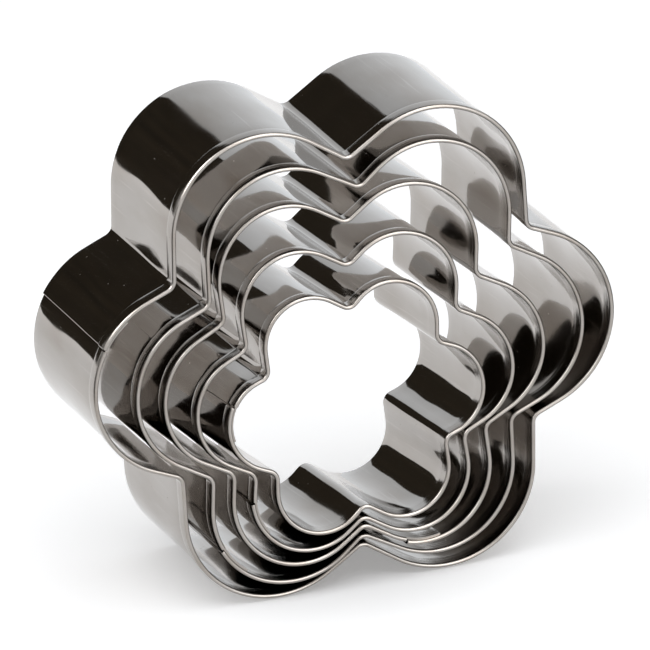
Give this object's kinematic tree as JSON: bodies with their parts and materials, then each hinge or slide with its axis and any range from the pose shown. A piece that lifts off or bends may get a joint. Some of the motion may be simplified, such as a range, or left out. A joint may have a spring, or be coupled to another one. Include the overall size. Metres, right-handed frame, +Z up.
{
  "type": "flower cookie cutter set",
  "caption": "Nested flower-shaped cookie cutters of polished sheet steel with hemmed rims, standing on edge inside one another.",
  "frame": {"origin": "middle of the set's footprint on the surface that it stands on", "axes": "+X across the flowers to the right, +Y from the hemmed rims back to the cutting edges, +Z up"},
  "size_m": [0.0778, 0.0292, 0.0689],
  "materials": {
    "polished_steel": "polished stainless sheet"
  },
  "bodies": {
    "largest_cutter": {"largest_cutter": "polished_steel"},
    "large_cutter": {"large_cutter": "polished_steel"},
    "middle_cutter": {"middle_cutter": "polished_steel"},
    "small_cutter": {"small_cutter": "polished_steel"},
    "smallest_cutter": {"smallest_cutter": "polished_steel"}
  },
  "joints": [
    {"name": "large_slide", "type": "slide", "parent": "largest_cutter", "child": "large_cutter", "axis": [0.0052, -0.9991, 0.0421], "range_m": [0, 0.03]},
    {"name": "middle_slide", "type": "slide", "parent": "large_cutter", "child": "middle_cutter", "axis": [-0.0034, -0.9968, 0.0804], "range_m": [0, 0.03]},
    {"name": "small_slide", "type": "slide", "parent": "middle_cutter", "child": "small_cutter", "axis": [-0.0157, -0.9956, 0.0925], "range_m": [0, 0.03]},
    {"name": "smallest_slide", "type": "slide", "parent": "small_cutter", "child": "smallest_cutter", "axis": [-0.0142, -0.9933, 0.1151], "range_m": [0, 0.03]}
  ]
}
